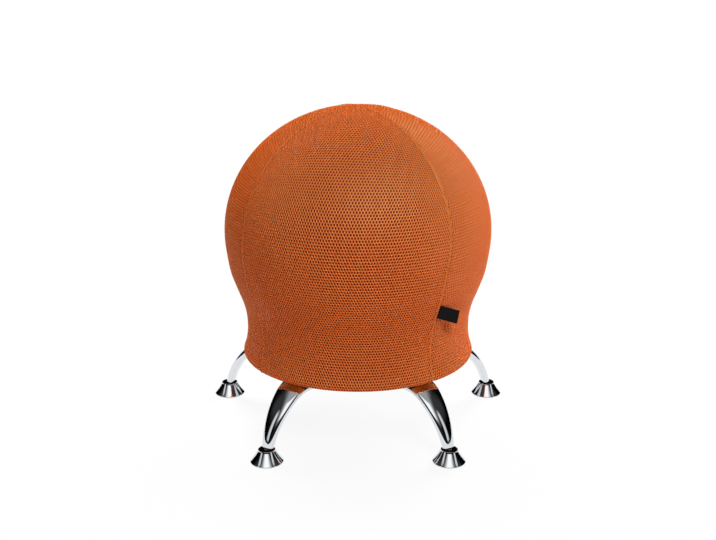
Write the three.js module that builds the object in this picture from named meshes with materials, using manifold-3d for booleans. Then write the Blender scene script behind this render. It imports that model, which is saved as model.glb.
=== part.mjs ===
// Balance ball chair: an inflated ball in a stretched mesh cover, on a moulded pan with five chromed legs.
// Millimetres, +Z up, front towards -Y. The origin is on the floor, in the middle of the footprint.
import * as THREE from 'three';
import { mergeVertices } from 'three/addons/utils/BufferGeometryUtils.js';
import Module from 'manifold-3d';

const wasm = await Module();
wasm.setup();

// Clearances and aids that several pieces share
const seatGap = 0.3;
const overrun = 2;
const turn = 2 * Math.PI;
const degree = Math.PI / 180;
const weldDistance = 1e-4;

// Feet and legs: bearings go round from the front, positive to the right
const legNames = ['front_right', 'side_right', 'rear', 'side_left', 'front_left'];
const legStep = 360 / legNames.length;
const firstLegBearing = legStep / 2;
const footCircleRadius = 269;
const pivotHeight = 12;
const endToPivot = 13.5;
const shinEndSlope = 77;
const shinRadius = 130.7;
const kneeSlope = 34;
const kneeRadius = 60;
const legInnerRadius = 54;
const legWidth = 58;
const legThickness = 21;
const legEndWidth = 22;
const legEndThickness = 15;
const legWall = 1.5;
const legRoundness = 2.3;
const legSides = 14;
const boreSides = 8;
const smallSteps = 8;

// Leg screws and the inserts that hold them
const innerScrewRadius = 82;
const outerScrewInset = 21.5;
const screwRadius = 3;
const screwHoleRadius = 3.4;
const screwHeadRadius = 7;
const screwHeadHeight = 4;
const screwCrownShare = 0.6;
const screwRimShare = 0.33;
const screwKeyRadius = 2.6;
const screwKeyDepth = 2.4;
const insertRadius = 5.5;
const insertLength = 11;
const screwReach = 9;

// Bell foot, glide and stud
const bellRadius = 29;
const bellSteps = 20;
const bellMouthRadius = 15;
const bellHeight = 24;
const bellLip = 2;
const bellWall = 1.2;
const bellLift = 0.6;
const glideThickness = 4;
const glideBossRadius = 9.5;
const glideBossHeight = 16.6;
const studBallRadius = 5.6;
const socketGap = 0.5;
const socketLipRise = 2.6;
const studNeckRadius = 3;
const studHexStart = 8.4;
const studHexThickness = 3.6;
const studHexFlats = 11;
const studThreadRadius = 2.9;
const studThreadLength = 16;
const endPlugLength = 18;

// Base pan
const deckThickness = 4;
const valveHoleRadius = 28;
const valveHoleRim = 4;
const cradleRadius = 111;
const cradleWall = 4;
const deckRadius = 186;
const deckStep = 5.6;
const rimWidth = 25.7;
const beadRadius = 4.8;
const beadCornerAngle = 45;
const beadWrapAngle = 135;
const seatDrop = 3.2;
const bossWall = 3.7;
const bossRoof = 2.4;
const ribThickness = 3;
const ribHeight = 9;
const railThickness = 3;
const railDepth = 12;

// Ball, its valve and the edging that it rests on
const ballRadius = 240.2;
const ballHalfHeight = 223.5;
const ballLift = 4.4;
const ballWall = 1.6;
const valveRadius = 4.5;
const valveBossRadius = 9;
const valveBossHeight = 9;
const plugHeadRadius = 7;
const plugHeadThickness = 1.2;
const plugLength = 8;
const edgingWall = 2.4;
const edgingDepth = 8;
const edgingOuterShare = 0.33;
const edgingInnerShare = 0.67;

// Cover: four gores, sewn at these bearings
const panelNames = ['right', 'back', 'left', 'front'];
const seamBearings = [39, 128, 216, 305];
const seamGap = 0.6;
const coverThickness = 2.5;
const coverLeaveAngle = 98;
const beadLeaveAngle = 15;
const hemRollRadius = 3.6;
const hemRollInset = 9.4;
const elasticRadius = 1.8;
const revolveSteps = 32;
const crownSteps = 7;

// Outline of the cover between the ball and the rim bead. Each row is a share of the height from the bead to
// the ball's middle, then the shares of the cover's widest radius and of the bead's that add up to the radius.
const flankShares = [
  [0.7, 0.966, 0],
  [0.57, 0.925, 0],
  [0.435, 0.878, 0],
  [0.32, 0.427, 0.49],
  [0.19, 0.2, 0.744],
  [0.08, 0, 0.988],
];

// Label tab in the right front seam: a bare folded loop of tape
const tabLength = 39;
const tabWidth = 24;
const tabThickness = 1.6;
const tabHeightShare = 0.55;
const tabDroop = 20;
const tabStandOff = 12;

// Where the main pieces lie, worked out from the sizes above
const axisY = -footCircleRadius * (1 - Math.cos(firstLegBearing * degree)) / 2;
const sine = (angle) => Math.sin(angle * degree);
const cosine = (angle) => Math.cos(angle * degree);
const legEndRadius = footCircleRadius - endToPivot * cosine(shinEndSlope);
const legEndHeight = pivotHeight + endToPivot * sine(shinEndSlope);
const kneeEndRadius = legEndRadius - shinRadius * (sine(shinEndSlope) - sine(kneeSlope));
const kneeEndHeight = legEndHeight + shinRadius * (cosine(kneeSlope) - cosine(shinEndSlope));
const kneeStartRadius = kneeEndRadius - kneeRadius * sine(kneeSlope);
const straightEnd = Math.min(kneeStartRadius, deckRadius);
const screwRadii = [innerScrewRadius, straightEnd - outerScrewInset];
const legHeight = kneeEndHeight + kneeRadius * (1 - cosine(kneeSlope));
const legSeat = legHeight + legThickness / 2 + seatGap;
const deckUnder = legSeat + seatDrop;
const deckTop = deckUnder + deckThickness;
const beadHeight = deckUnder + deckStep;
const beadOuterRadius = deckRadius + rimWidth;
const beadCentre = beadOuterRadius - beadRadius;
const ballBottom = deckTop + ballLift;
const ballHeight = ballBottom + ballHalfHeight;
const coverRadius = ballRadius + seatGap + coverThickness;
const coverHalfHeight = ballHalfHeight + seatGap + coverThickness;

// Finishes
const finishes = {
  chrome: { color: 0xd5d7da, roughness: 0.06, metalness: 1 },
  zinc: { color: 0xa9adb2, roughness: 0.35, metalness: 1 },
  mesh: { color: 0xc2622b, roughness: 0.85, metalness: 0 },
  ballSkin: { color: 0x8f9194, roughness: 0.45, metalness: 0 },
  pan: { color: 0x1b1c1e, roughness: 0.55, metalness: 0 },
  nylon: { color: 0x222222, roughness: 0.5, metalness: 0 },
  rubber: { color: 0x2a2a2a, roughness: 0.8, metalness: 0 },
  tape: { color: 0x0c0c0d, roughness: 0.7, metalness: 0 },
  elastic: { color: 0x111112, roughness: 0.9, metalness: 0 },
};

// Joins the shared corners of a geometry, drops collapsed triangles and turns the faces outwards
function weld(geometry) {
  const bare = new THREE.BufferGeometry();
  bare.setAttribute('position', geometry.getAttribute('position').clone());
  bare.setIndex(geometry.index ? geometry.index.clone() : null);
  const merged = mergeVertices(bare, weldDistance);
  const places = merged.getAttribute('position');
  const corners = merged.index.array;
  const kept = [];
  let volume = 0;
  const [a, b, c] = [new THREE.Vector3(), new THREE.Vector3(), new THREE.Vector3()];
  for (let i = 0; i < corners.length; i += 3) {
    const [p, q, r] = [corners[i], corners[i + 1], corners[i + 2]];
    if (p === q || q === r || r === p) continue;
    kept.push(p, q, r);
    a.fromBufferAttribute(places, p);
    b.fromBufferAttribute(places, q);
    c.fromBufferAttribute(places, r);
    volume += a.dot(b.cross(c));
  }
  if (volume < 0) kept.reverse();
  merged.setIndex(kept);
  return merged;
}

// A closed geometry as a solid that can be joined and cut
function solid(geometry) {
  const welded = weld(geometry);
  const vertProperties = Float32Array.from(welded.getAttribute('position').array);
  const triVerts = Uint32Array.from(welded.index.array);
  return new wasm.Manifold(new wasm.Mesh({ numProp: 3, vertProperties, triVerts }));
}

// A solid back as a geometry
function geometryOf(body) {
  const mesh = body.getMesh();
  const geometry = new THREE.BufferGeometry();
  geometry.setAttribute('position', new THREE.BufferAttribute(Float32Array.from(mesh.vertProperties), 3));
  geometry.setIndex(new THREE.BufferAttribute(Uint32Array.from(mesh.triVerts), 1));
  geometry.computeVertexNormals();
  return geometry;
}

// Profile of [radius, height] pairs turned round the vertical axis
function revolve(profile, steps) {
  const points = profile.map(([radius, height]) => new THREE.Vector2(radius, height));
  return new THREE.LatheGeometry(points, steps).rotateX(Math.PI / 2);
}

// A closed ring profile: the last point joins the first
function revolveRing(profile, steps) {
  return revolve([...profile, profile[0]], steps);
}

function cylinder(radius, bottom, top, steps) {
  const geometry = new THREE.CylinderGeometry(radius, radius, top - bottom, steps);
  return geometry.rotateX(Math.PI / 2).translate(0, 0, (bottom + top) / 2);
}

function block(low, high) {
  const geometry = new THREE.BoxGeometry(high[0] - low[0], high[1] - low[1], high[2] - low[2]);
  return geometry.translate((low[0] + high[0]) / 2, (low[1] + high[1]) / 2, (low[2] + high[2]) / 2);
}

// Points on an arc in the profile plane, angles in degrees from outwards, towards up
function arc(centre, radius, from, to, steps) {
  const points = [];
  for (let i = 0; i <= steps; i += 1) {
    const angle = from + (to - from) * i / steps;
    points.push([centre[0] + radius * cosine(angle), centre[1] + radius * sine(angle)]);
  }
  return points;
}

// Angle about the vertical that turns local +X to a bearing
const bearingAngle = (bearing) => (bearing - 90) * degree;

// Place and slope along a leg's centreline, and how far along the taper it is
function legStations(kneeSteps, shinSteps, inner) {
  const stations = [{ radius: legInnerRadius - inner, height: legHeight, slope: 0, taper: 0 }];
  for (let i = 0; i <= kneeSteps; i += 1) {
    const slope = kneeSlope * i / kneeSteps;
    stations.push({
      radius: kneeStartRadius + kneeRadius * sine(slope),
      height: legHeight - kneeRadius * (1 - cosine(slope)),
      slope,
      taper: 0,
    });
  }
  for (let i = 1; i <= shinSteps; i += 1) {
    const slope = kneeSlope + (shinEndSlope - kneeSlope) * i / shinSteps;
    stations.push({
      radius: kneeEndRadius + shinRadius * (sine(slope) - sine(kneeSlope)),
      height: kneeEndHeight - shinRadius * (cosine(kneeSlope) - cosine(slope)),
      slope,
      taper: i / shinSteps,
    });
  }
  const kneeLength = kneeRadius * kneeSlope;
  const shinLength = shinRadius * (shinEndSlope - kneeSlope);
  for (const station of stations) {
    const along = station.taper > 0
      ? kneeLength + shinLength * station.taper
      : kneeRadius * station.slope;
    station.taper = along / (kneeLength + shinLength);
  }
  return stations;
}

// A station moved on along the leg by a length, straight
function advance(station, length) {
  return {
    ...station,
    radius: station.radius + length * cosine(station.slope),
    height: station.height - length * sine(station.slope),
  };
}

// Closed loft of flat oval sections through the stations, shrunk by an inset all round
function loftOval(stations, sides, inset) {
  const positions = [];
  for (const station of stations) {
    const halfWidth = THREE.MathUtils.lerp(legWidth, legEndWidth, station.taper) / 2 - inset;
    const halfThickness = THREE.MathUtils.lerp(legThickness, legEndThickness, station.taper) / 2 - inset;
    for (let i = 0; i < sides; i += 1) {
      const angle = turn * i / sides;
      const across = halfWidth * roundedShare(Math.cos(angle));
      const up = halfThickness * roundedShare(Math.sin(angle));
      positions.push(
        station.radius + up * sine(station.slope),
        across,
        station.height + up * cosine(station.slope),
      );
    }
  }
  return loftRings(positions, stations.length, sides);
}

function roundedShare(value) {
  return Math.sign(value) * Math.abs(value) ** (2 / legRoundness);
}

// Skins equal rings of corners one after another and closes both ends
function loftRings(positions, rings, sides) {
  const index = [];
  for (let ring = 0; ring + 1 < rings; ring += 1) {
    for (let i = 0; i < sides; i += 1) {
      const next = (i + 1) % sides;
      const [a, b] = [ring * sides + i, ring * sides + next];
      index.push(a, b, b + sides, a, b + sides, a + sides);
    }
  }
  const last = (rings - 1) * sides;
  for (let i = 1; i + 1 < sides; i += 1) {
    index.push(0, i + 1, i, last, last + i, last + i + 1);
  }
  const geometry = new THREE.BufferGeometry();
  geometry.setAttribute('position', new THREE.Float32BufferAttribute(positions, 3));
  geometry.setIndex(index);
  return geometry;
}

// Leg: a tapered oval tube bent down from the pan to the foot, drilled for its two screws
function legTube() {
  const outside = solid(loftOval(legStations(6, 6, 0), legSides, 0));
  const path = legStations(3, 6, overrun);
  path.push(advance(path.at(-1), overrun));
  let tube = outside.subtract(solid(loftOval(path, boreSides, legWall)));
  for (const radius of screwRadii) {
    const hole = cylinder(screwHoleRadius, legHeight - legThickness, legHeight + legThickness, smallSteps);
    tube = tube.subtract(solid(hole.translate(radius, 0, 0)));
  }
  return geometryOf(tube);
}

// Plug in the leg's lower end: it fills the oval bore and holds the stud's thread
function legEndPlug() {
  const end = legStations(4, 4, 0).at(-1);
  const slopeStep = endPlugLength / shinRadius / degree;
  const taperStep = endPlugLength / (kneeRadius * kneeSlope + shinRadius * (shinEndSlope - kneeSlope)) / degree;
  const start = {
    radius: end.radius - shinRadius * (sine(end.slope) - sine(end.slope - slopeStep)),
    height: end.height + shinRadius * (cosine(end.slope - slopeStep) - cosine(end.slope)),
    slope: end.slope - slopeStep,
    taper: end.taper - taperStep,
  };
  const body = solid(loftOval([start, end], boreSides, legWall + seatGap));
  const bore = cylinder(studThreadRadius + seatGap, 0, endPlugLength + 2 * overrun, smallSteps);
  bore.translate(0, 0, endToPivot - overrun);
  return geometryOf(body.subtract(solid(alongStud(bore))));
}

// Turns a piece built round the vertical, with the stud's ball at its origin, to the slope of the leg's end
function alongStud(geometry) {
  geometry.rotateY((shinEndSlope - 90) * degree);
  return geometry.translate(footCircleRadius, 0, pivotHeight);
}

// Stud: ball end, neck, hexagon for the spanner and thread
function glideStud() {
  const neckStart = Math.sqrt(studBallRadius ** 2 - studNeckRadius ** 2);
  const neckAngle = Math.atan2(neckStart, studNeckRadius) / degree;
  const threadEnd = endToPivot + studThreadLength;
  const profile = [
    ...arc([0, 0], studBallRadius, -90, neckAngle, 6),
    [studNeckRadius, studHexStart],
    [studThreadRadius, studHexStart + studHexThickness],
    [studThreadRadius, threadEnd],
    [0, threadEnd],
  ];
  profile[0][0] = 0;
  const hexRadius = studHexFlats / 2 / cosine(30);
  const hexagon = cylinder(hexRadius, studHexStart, studHexStart + studHexThickness, 6);
  return alongStud(geometryOf(solid(revolve(profile, smallSteps)).add(solid(hexagon))));
}

// Bell: a spun cup with a narrow mouth, open below
function footBell() {
  const mouthInner = bellMouthRadius - bellWall;
  const lipInner = bellRadius - bellWall;
  const profile = [
    [bellRadius, bellLift],
    [bellRadius, bellLift + bellLip],
    [bellMouthRadius, bellHeight - bellWall / 2],
    [bellMouthRadius - bellWall / 2, bellHeight],
    [mouthInner, bellHeight - bellWall / 2],
    [lipInner, bellLift + bellLip],
    [lipInner, bellLift],
  ];
  return revolveRing(profile, bellSteps).translate(footCircleRadius, 0, 0);
}

// Glide: a moulded disc under the bell, with the socket that the stud's ball snaps into
function footGlide() {
  const discRadius = bellRadius - bellWall - seatGap;
  const socketRadius = studBallRadius + socketGap;
  const lipRadius = Math.sqrt(socketRadius ** 2 - socketLipRise ** 2);
  const lipAngle = Math.atan2(socketLipRise, lipRadius) / degree;
  const flare = glideBossHeight - pivotHeight - socketLipRise;
  const socket = arc([0, pivotHeight], socketRadius, lipAngle, -90, 4);
  socket.at(-1)[0] = 0;
  const profile = [
    [0, 0],
    [discRadius - bellLift, 0],
    [discRadius, bellLift],
    [discRadius, bellLift + bellLip],
    [discRadius - glideThickness / 2, glideThickness],
    [glideBossRadius, glideThickness],
    [glideBossRadius, glideBossHeight],
    [lipRadius + flare, glideBossHeight],
    ...socket,
  ];
  return revolve(profile, bellSteps / 2).translate(footCircleRadius, 0, 0);
}

// Button screw from below, through the leg into its insert
function legScrew(radius) {
  const seat = legHeight - legThickness / 2 - seatGap;
  const top = legSeat + screwReach;
  const profile = [
    [0, seat - screwHeadHeight],
    [screwHeadRadius * screwCrownShare, seat - screwHeadHeight],
    [screwHeadRadius, seat - screwHeadHeight * screwRimShare],
    [screwHeadRadius, seat],
    [screwRadius, seat],
    [screwRadius, top],
    [0, top],
  ];
  const keyFloor = seat - screwHeadHeight + screwKeyDepth;
  const key = cylinder(screwKeyRadius, seat - screwHeadHeight - overrun, keyFloor, 6);
  return geometryOf(solid(revolve(profile, smallSteps)).subtract(solid(key))).translate(radius, 0, 0);
}

// Threaded insert, pressed into its boss from below
function screwInsert(radius) {
  const inner = screwRadius + seatGap;
  const [bottom, top] = [legSeat + seatGap, legSeat + seatGap + insertLength];
  const profile = [[inner, bottom], [insertRadius, bottom], [insertRadius, top], [inner, top]];
  return revolveRing(profile, smallSteps).translate(radius, 0, 0);
}

// Height of the ball's underside at a radius
function ballHeightAt(radius) {
  return ballHeight - ballHalfHeight * Math.sqrt(1 - (radius / ballRadius) ** 2);
}

// Top of the cradle wall: a gap and the edging's roof below the ball
function cradleTop() {
  return ballHeightAt(cradleRadius - cradleWall / 2) - edgingWall - 2 * seatGap;
}

// Pan: deck with a valve hole, cradle ring, raised rim with its bead, bosses, ribs and rails
function basePan() {
  const cradleInner = cradleRadius - cradleWall / 2;
  const cradleOuter = cradleRadius + cradleWall / 2;
  const rimTop = beadHeight + beadRadius;
  const channelInner = deckRadius + deckThickness;
  const profile = [
    [valveHoleRadius, deckUnder - valveHoleRim],
    [valveHoleRadius + ribThickness, deckUnder - valveHoleRim],
    [valveHoleRadius + ribThickness, deckUnder],
    [deckRadius, deckUnder],
    [channelInner, beadHeight],
    ...arc([beadCentre, beadHeight], beadRadius, -180, 90, 270 / beadCornerAngle),
    [channelInner, rimTop],
    [deckRadius - deckThickness, deckTop],
    [cradleOuter, deckTop],
    [cradleOuter, cradleTop()],
    [cradleInner, cradleTop()],
    [cradleInner, deckTop],
    [valveHoleRadius, deckTop],
  ];
  let pan = solid(revolveRing(profile, revolveSteps));
  const bossRadius = insertRadius + seatGap + bossWall;
  const bossTop = legSeat + insertLength + 2 * seatGap + bossRoof;
  const railInner = legWidth / 2 + seatGap;
  legNames.forEach((name, i) => {
    const angle = bearingAngle(firstLegBearing + i * legStep);
    for (const radius of screwRadii) {
      const boss = cylinder(bossRadius, legSeat, bossTop, 12).translate(radius, 0, 0);
      pan = pan.add(solid(boss.rotateZ(angle)));
    }
    for (const side of [-1, 1]) {
      const edges = [side * railInner, side * (railInner + railThickness)].sort((a, b) => a - b);
      const rail = block(
        [legInnerRadius, edges[0], deckUnder - railDepth],
        [deckRadius - deckThickness, edges[1], deckUnder + deckThickness / 2],
      );
      pan = pan.add(solid(rail.rotateZ(angle)));
    }
    for (const ribAngle of [angle, angle + legStep * degree / 2]) {
      const rib = block(
        [cradleRadius, -ribThickness / 2, deckTop - deckThickness / 2],
        [deckRadius, ribThickness / 2, deckTop + ribHeight],
      );
      pan = pan.add(solid(rib.rotateZ(ribAngle)));
    }
  });
  legNames.forEach((name, i) => {
    const angle = bearingAngle(firstLegBearing + i * legStep);
    for (const radius of screwRadii) {
      const bore = cylinder(insertRadius + seatGap, legSeat - overrun, bossTop - bossRoof, smallSteps);
      pan = pan.subtract(solid(bore.translate(radius, 0, 0).rotateZ(angle)));
    }
  });
  return geometryOf(pan);
}

// Edging: a rubber channel pushed over the cradle wall, with a round back for the ball
function cradleEdging() {
  const inner = cradleRadius - cradleWall / 2 - seatGap;
  const outer = cradleRadius + cradleWall / 2 + seatGap;
  const top = cradleTop() + seatGap;
  const foot = top - edgingDepth;
  const roof = (radius) => ballHeightAt(radius) - 1.5 * seatGap;
  const profile = [
    [inner, foot],
    [inner, top],
    [outer, top],
    [outer, foot],
    [outer + edgingWall, foot],
    [outer + edgingWall, roof(outer) - edgingWall * edgingOuterShare],
    [outer, roof(outer)],
    [inner, roof(inner)],
    [inner - edgingWall, roof(inner) - edgingWall * edgingInnerShare],
    [inner - edgingWall, foot],
  ];
  return revolveRing(profile, revolveSteps);
}

// Points down a spheroid round the ball's middle, from its top; angles run from the top, in degrees
function spheroid(radius, halfHeight, from, to, steps) {
  const points = [];
  for (let i = 0; i <= steps; i += 1) {
    const angle = from + (to - from) * i / steps;
    points.push([radius * sine(angle), ballHeight + halfHeight * cosine(angle)]);
  }
  return points;
}

// Ball: a thin hollow skin with the bore of its valve at the lowest point
function ball() {
  const outside = spheroid(ballRadius, ballHalfHeight, 0, coverLeaveAngle, crownSteps);
  const bottomAngle = 180 - Math.asin(valveRadius / ballRadius) / degree;
  const restAngle = 180 - Math.asin(cradleRadius / ballRadius) / degree;
  const under = spheroid(ballRadius, ballHalfHeight, coverLeaveAngle, restAngle, 5);
  const lowest = spheroid(ballRadius, ballHalfHeight, restAngle, bottomAngle, 3);
  const innerRadius = ballRadius - ballWall;
  const innerHalfHeight = ballHalfHeight - ballWall;
  const bossAngle = 180 - Math.asin(valveBossRadius / innerRadius) / degree;
  const inside = spheroid(innerRadius, innerHalfHeight, bossAngle, 0, crownSteps);
  outside[0][0] = 0;
  inside.at(-1)[0] = 0;
  const bossTop = ballBottom + valveBossHeight;
  const profile = [
    ...outside,
    ...under.slice(1),
    ...lowest.slice(1),
    [valveRadius, bossTop],
    [valveBossRadius, bossTop],
    ...inside,
  ];
  return revolve(profile, revolveSteps);
}

// Plug pushed into the valve from below
function valvePlug() {
  const headTop = ballBottom - seatGap;
  const stemRadius = valveRadius - seatGap;
  const tip = headTop + plugLength;
  const profile = [
    [0, headTop - plugHeadThickness],
    [plugHeadRadius, headTop - plugHeadThickness],
    [plugHeadRadius, headTop],
    [stemRadius, headTop],
    [stemRadius, tip - stemRadius / 2],
    [stemRadius / 2, tip],
    [0, tip],
  ];
  return revolve(profile, 12);
}

// Round the bead from where the cloth leaves it, with corners at the bead's own corners
function aroundBead(radius, to) {
  const centre = [beadCentre, beadHeight];
  const [leave] = arc(centre, radius, beadLeaveAngle, 0, 1);
  return [leave, ...arc(centre, radius, 0, to, -to / beadCornerAngle)];
}

// The cover's outside from the top to the rim bead
function coverOutline() {
  const crown = spheroid(coverRadius, coverHalfHeight, 0, coverLeaveAngle, crownSteps);
  const beadReach = beadRadius + seatGap + coverThickness;
  const beadArc = aroundBead(beadReach, -90);
  const flank = flankShares.map(([up, ofCover, ofBead]) => [
    coverRadius * ofCover + beadOuterRadius * ofBead,
    THREE.MathUtils.lerp(beadHeight, ballHeight, up),
  ]);
  const knots = [crown.at(-1), ...flank, beadArc[0]];
  const curve = new THREE.SplineCurve(knots.map(([radius, height]) => new THREE.Vector2(radius, height)));
  const sides = curve.getPoints(8).slice(1, -1).map((point) => [point.x, point.y]);
  return { crown, sides, beadArc };
}

// The same outline moved inwards by the cloth's thickness
function inwards(outline, distance) {
  return outline.map(([radius, height], i) => {
    const before = outline[Math.max(i - 1, 0)];
    const after = outline[Math.min(i + 1, outline.length - 1)];
    const [along, down] = [after[0] - before[0], after[1] - before[1]];
    const length = Math.hypot(along, down);
    return [radius + distance * down / length, height - distance * along / length];
  });
}

const hemCentre = [beadCentre - hemRollInset, beadHeight - beadRadius];

// The whole cover as one turned shell: cloth, rim wrap and the rolled hem with its tunnel
function coverShell() {
  const { crown, sides, beadArc } = coverOutline();
  const innerCrown = spheroid(ballRadius + seatGap, ballHalfHeight + seatGap, 0, coverLeaveAngle, crownSteps);
  const innerSides = inwards([crown.at(-1), ...sides, beadArc[0]], coverThickness).slice(1, -1);
  const innerArc = aroundBead(beadRadius + seatGap, -beadWrapAngle);
  const hemRoll = arc(hemCentre, hemRollRadius, -90, -330, 4);
  crown[0][0] = 0;
  innerCrown[0][0] = 0;
  const profile = [
    ...crown,
    ...sides,
    ...beadArc,
    ...hemRoll,
    ...innerArc.reverse(),
    ...innerSides.reverse(),
    ...innerCrown.reverse(),
  ];
  const tunnel = arc(hemCentre, elasticRadius + seatGap, 0, 300, 5);
  return solid(revolve(profile, revolveSteps)).subtract(solid(revolveRing(tunnel, revolveSteps)));
}

// Wedge between two seams, each half a seam gap away from its seam's plane
function goreWedge(startBearing, endBearing) {
  const reach = 2 * coverRadius;
  const span = endBearing - startBearing;
  const tip = seamGap / 2 / sine(span / 2);
  const corners = [[0, 0], [reach, 0], [reach * cosine(span / 2), reach * sine(span / 2)]];
  corners.push([reach * cosine(span), reach * sine(span)]);
  const outline = new THREE.Shape(corners.map(([x, y]) => new THREE.Vector2(x, y)));
  const wedge = new THREE.ExtrudeGeometry(outline, { depth: ballHeight + reach, bevelEnabled: false });
  wedge.translate(tip * cosine(span / 2), tip * sine(span / 2), 0);
  return wedge.rotateZ(bearingAngle(startBearing));
}

// Elastic cord that runs through the hem
function hemElastic() {
  return revolveRing(arc(hemCentre, elasticRadius, 0, 300, 5), revolveSteps);
}

// Tab: starts along the surface at its seam, then stands off a little and droops to its free end
function labelTab() {
  const outline = coverOutline();
  const path = [...outline.crown, ...outline.sides, ...outline.beadArc];
  const height = beadHeight + (ballHeight - beadHeight) * tabHeightShare;
  const below = path.findIndex((point) => point[1] < height);
  const [upper, lower] = [path[below - 1], path[below]];
  const share = (upper[1] - height) / (upper[1] - lower[1]);
  const radius = upper[0] + (lower[0] - upper[0]) * share;
  const lean = Math.atan2(upper[0] - lower[0], upper[1] - lower[1]);
  const tab = new THREE.BoxGeometry(tabThickness, tabLength, tabWidth);
  tab.translate(tabThickness / 2, tabLength / 2, 0);
  tab.rotateX(-tabDroop * degree);
  tab.translate(0, tabWidth / 2 * sine(tabDroop), 0);
  tab.rotateZ(-tabStandOff * degree);
  tab.rotateY(lean);
  tab.translate(radius * cosine(180 / revolveSteps) + 2 * seatGap, 0, height);
  return tab.rotateZ(bearingAngle(seamBearings[0]));
}

const chair = new THREE.Group();
const onAxis = new THREE.Group();
onAxis.position.set(0, axisY, 0);
chair.add(onAxis);

// Hangs a named mesh with its finish on a group
function place(parent, name, geometry, finishName) {
  const material = new THREE.MeshStandardMaterial(finishes[finishName]);
  const mesh = new THREE.Mesh(weld(geometry), material);
  mesh.geometry.computeVertexNormals();
  mesh.name = name;
  parent.add(mesh);
}

legNames.forEach((name, i) => {
  const leg = new THREE.Group();
  leg.rotation.z = bearingAngle(firstLegBearing + i * legStep);
  onAxis.add(leg);
  place(leg, `leg_${name}`, legTube(), 'chrome');
  place(leg, `leg_end_plug_${name}`, legEndPlug(), 'nylon');
  place(leg, `glide_stud_${name}`, glideStud(), 'zinc');
  place(leg, `foot_bell_${name}`, footBell(), 'chrome');
  place(leg, `foot_glide_${name}`, footGlide(), 'nylon');
  ['inner', 'outer'].forEach((where, k) => {
    place(leg, `leg_screw_${where}_${name}`, legScrew(screwRadii[k]), 'zinc');
    place(leg, `screw_insert_${where}_${name}`, screwInsert(screwRadii[k]), 'zinc');
  });
});

place(onAxis, 'base_pan', basePan(), 'pan');
place(onAxis, 'cradle_edging', cradleEdging(), 'rubber');
place(onAxis, 'ball', ball(), 'ballSkin');
place(onAxis, 'valve_plug', valvePlug(), 'nylon');
place(onAxis, 'hem_elastic', hemElastic(), 'elastic');
place(onAxis, 'label_tab', labelTab(), 'tape');

const shell = coverShell();
panelNames.forEach((name, i) => {
  const start = seamBearings[i];
  const end = seamBearings[(i + 1) % seamBearings.length];
  const wedge = solid(goreWedge(start, end > start ? end : end + 360));
  place(onAxis, `cover_panel_${name}`, geometryOf(shell.intersect(wedge)), 'mesh');
});

export default chair;
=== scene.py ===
import math
from functools import partial

import bmesh
import bpy
import numpy as np
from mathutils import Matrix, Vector


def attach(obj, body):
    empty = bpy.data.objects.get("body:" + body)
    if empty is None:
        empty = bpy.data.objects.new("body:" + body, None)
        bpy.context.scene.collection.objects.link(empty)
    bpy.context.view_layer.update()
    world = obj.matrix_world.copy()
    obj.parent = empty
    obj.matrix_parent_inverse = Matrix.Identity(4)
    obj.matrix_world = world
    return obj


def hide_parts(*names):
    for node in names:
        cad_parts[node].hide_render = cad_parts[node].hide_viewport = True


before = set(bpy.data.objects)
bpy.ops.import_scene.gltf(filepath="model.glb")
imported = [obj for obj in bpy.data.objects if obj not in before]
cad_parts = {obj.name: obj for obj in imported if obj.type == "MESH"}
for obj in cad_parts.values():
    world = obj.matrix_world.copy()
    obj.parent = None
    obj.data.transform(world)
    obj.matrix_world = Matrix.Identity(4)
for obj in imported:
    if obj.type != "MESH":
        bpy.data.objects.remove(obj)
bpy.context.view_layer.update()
print("frame loaded")

mm = 0.001
seatBody = "frame_and_seat"
legNames = ["front_right", "side_right", "rear", "side_left", "front_left"]
bearings = {name: 36 + 72 * i for i, name in enumerate(legNames)}  # round from the front, positive to the right


# helpers

def sine(degrees):
    return math.sin(math.radians(degrees))


def cosine(degrees):
    return math.cos(math.radians(degrees))


def outward(bearing):
    return Vector((sine(bearing), -cosine(bearing), 0))


def toLinear(hexColour):
    parts = [int(hexColour[i:i + 2], 16) / 255 for i in (1, 3, 5)]
    return tuple(c / 12.92 if c <= 0.04045 else ((c + 0.055) / 1.055) ** 2.4 for c in parts) + (1.0,)


def setSockets(node, values):  # links sockets and the first outputs of nodes, and sets every other value
    for socket, value in values.items():
        value = value.outputs[0] if isinstance(value, bpy.types.Node) else value
        if isinstance(value, bpy.types.NodeSocket):
            node.id_data.links.new(value, node.inputs[socket])
        else:
            node.inputs[socket].default_value = value


def addNode(tree, kind, links=None, **settings):  # adds a node; "Math" stands for "ShaderNodeMath", and so on
    node = tree.nodes.new(kind if "Node" in kind else "ShaderNode" + kind)
    for name, value in settings.items():
        setattr(node, name, value)
    setSockets(node, links or {})
    return node


def newMaterial(name, shaderKind="BsdfPrincipled"):  # gives it with addNode for its tree, and its shader
    material = bpy.data.materials.new(name)
    material.use_nodes = True
    material.node_tree.nodes.clear()
    add = partial(addNode, material.node_tree)
    shader = add(shaderKind)
    add("OutputMaterial", {"Surface": shader})
    return material, add, shader


def newPiece(name, mesh, material, body=seatBody, replaced=(), smoothAngle=None):
    piece = bpy.data.objects.new(name, mesh)
    bpy.context.scene.collection.objects.link(piece)
    mesh.materials.clear()
    mesh.materials.append(material)
    mesh.shade_smooth()
    if smoothAngle:
        mesh.set_sharp_from_angle(angle=math.radians(smoothAngle))
    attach(piece, body)
    if replaced:
        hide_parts(*replaced)
    return piece


def meshFrom(name, points, faces):
    mesh = bpy.data.meshes.new(name)
    mesh.from_pydata([tuple(p) for p in points], [], faces)
    mesh.validate()
    return mesh


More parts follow.
